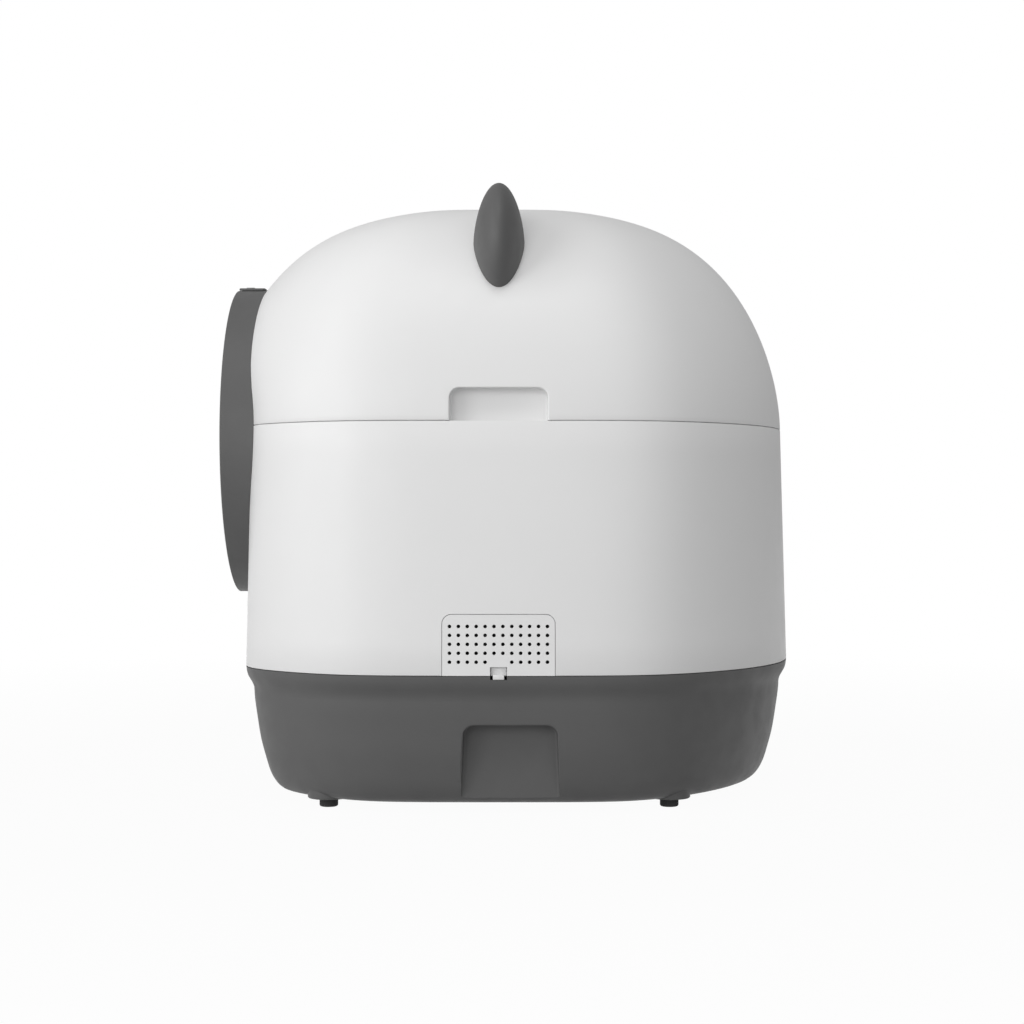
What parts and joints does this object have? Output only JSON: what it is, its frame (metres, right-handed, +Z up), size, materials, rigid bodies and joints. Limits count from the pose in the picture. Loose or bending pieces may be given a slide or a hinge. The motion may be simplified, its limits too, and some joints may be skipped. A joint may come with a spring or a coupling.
{
  "type": "self-cleaning litter box",
  "caption": "Domed self-cleaning litter box: round front entry, turning drum with sieve, geared drive, lift-off dome with ears, front waste drawer and side filter door.",
  "frame": {"origin": "on the floor, under the middle of the object's box", "axes": "+Z up; -Y towards the entry, so that the drum's axis lies along Y; the filter door is on the +X side"},
  "size_m": [0.5106, 0.5444, 0.5661],
  "materials": {
    "white_plastic": "satin white",
    "dark_plastic": "fine-grained dark grey",
    "grey_plastic": "light grey",
    "black_plastic": "glossy black",
    "rubber": "matt black",
    "nylon": "natural nylon",
    "steel": "zinc plated",
    "circuit_board": "green laminate",
    "carbon": "porous carbon foam"
  },
  "bodies": {
    "housing": {"base_tub": "dark_plastic", "entry_ring": "dark_plastic", "entry_liner": "dark_plastic", "control_panel": "dark_plastic", "body_shell": "white_plastic", "deck_plate": "grey_plastic", "board_cover": "grey_plastic", "presence_lens": "black_plastic", "power_inlet": "black_plastic", "mouth_seal": "rubber", "foot_pad_1": "rubber", "foot_pad_2": "rubber", "foot_pad_3": "rubber", "foot_pad_4": "rubber", "gear_motor": "steel", "motor_bracket": "steel", "roller_axle_1": "steel", "roller_axle_2": "steel", "roller_axle_3": "steel", "roller_axle_4": "steel", "deck_screw_1": "steel", "deck_screw_2": "steel", "deck_screw_3": "steel", "deck_screw_4": "steel", "ring_screw_1": "steel", "ring_screw_2": "steel", "ring_screw_3": "steel", "panel_board": "circuit_board", "control_board": "circuit_board", "filter_cartridge": "carbon"},
    "drum": {"drum_front": "grey_plastic", "drum_rear": "grey_plastic", "drum_sieve": "grey_plastic", "waste_port_frame": "grey_plastic", "ring_gear": "nylon"},
    "pinion": {"drive_pinion": "nylon", "drive_shaft": "steel"},
    "roller_1": {"roller_1": "nylon"},
    "roller_2": {"roller_2": "nylon"},
    "roller_3": {"roller_3": "nylon"},
    "roller_4": {"roller_4": "nylon"},
    "dome": {"dome_cover": "white_plastic", "ear_left": "dark_plastic", "ear_right": "dark_plastic", "ear_nut_left": "grey_plastic", "ear_nut_right": "grey_plastic"},
    "drawer": {"drawer_tray": "dark_plastic", "drawer_front": "dark_plastic", "bag_frame": "grey_plastic"},
    "filter_door": {"filter_door": "white_plastic"},
    "filter_latch": {"filter_latch": "white_plastic"},
    "button_power": {"button_power": "grey_plastic"},
    "button_clean": {"button_clean": "grey_plastic"},
    "button_level": {"button_level": "grey_plastic"}
  },
  "joints": [
    {"name": "drum_turn", "type": "hinge", "parent": "housing", "child": "drum", "pos_m": [0, 0, 0.3384], "axis": [0, 1, 0], "continuous": true},
    {"name": "pinion_turn", "type": "hinge", "parent": "housing", "child": "pinion", "pos_m": [-0.19039, 0, 0.1972], "axis": [0, 1, 0], "continuous": true},
    {"name": "roller_1_turn", "type": "hinge", "parent": "housing", "child": "roller_1", "pos_m": [-0.12005, -0.09105, 0.16695], "axis": [0, 1, 0], "continuous": true},
    {"name": "roller_2_turn", "type": "hinge", "parent": "housing", "child": "roller_2", "pos_m": [-0.12005, 0.06895, 0.16695], "axis": [0, 1, 0], "continuous": true},
    {"name": "roller_3_turn", "type": "hinge", "parent": "housing", "child": "roller_3", "pos_m": [0.12005, -0.09105, 0.16695], "axis": [0, 1, 0], "continuous": true},
    {"name": "roller_4_turn", "type": "hinge", "parent": "housing", "child": "roller_4", "pos_m": [0.12005, 0.06895, 0.16695], "axis": [0, 1, 0], "continuous": true},
    {"name": "dome_lift", "type": "slide", "parent": "housing", "child": "dome", "axis": [0, 0, 1], "range_m": [0, 0.25]},
    {"name": "drawer_slide", "type": "slide", "parent": "housing", "child": "drawer", "axis": [0, -1, 0], "range_m": [0, 0.3]},
    {"name": "filter_door_swing", "type": "hinge", "parent": "housing", "child": "filter_door", "pos_m": [0.2532, -0.01105, 0.17815], "axis": [0, -1, 0], "range_deg": [0, 60]},
    {"name": "filter_latch_lift", "type": "slide", "parent": "filter_door", "child": "filter_latch", "axis": [0, 0, 1], "range_m": [0, 0.0025], "stiffness_N_per_m": 300},
    {"name": "button_power_press", "type": "slide", "parent": "housing", "child": "button_power", "axis": [0.0934, 0, -0.9956], "range_m": [0, 0.001], "stiffness_N_per_m": 400, "springref_m": -0.0005},
    {"name": "button_clean_press", "type": "slide", "parent": "housing", "child": "button_clean", "axis": [0, 0, -1], "range_m": [0, 0.001], "stiffness_N_per_m": 400, "springref_m": -0.0005},
    {"name": "button_level_press", "type": "slide", "parent": "housing", "child": "button_level", "axis": [-0.0934, 0, -0.9956], "range_m": [0, 0.001], "stiffness_N_per_m": 400, "springref_m": -0.0005}
  ],
  "couplings": [
    {"joint": "pinion_turn", "follows": "drum_turn", "ratio": -6.4},
    {"joint": "roller_1_turn", "follows": "drum_turn", "ratio": -15.077},
    {"joint": "roller_2_turn", "follows": "drum_turn", "ratio": -15.077},
    {"joint": "roller_3_turn", "follows": "drum_turn", "ratio": -15.077},
    {"joint": "roller_4_turn", "follows": "drum_turn", "ratio": -15.077}
  ]
}
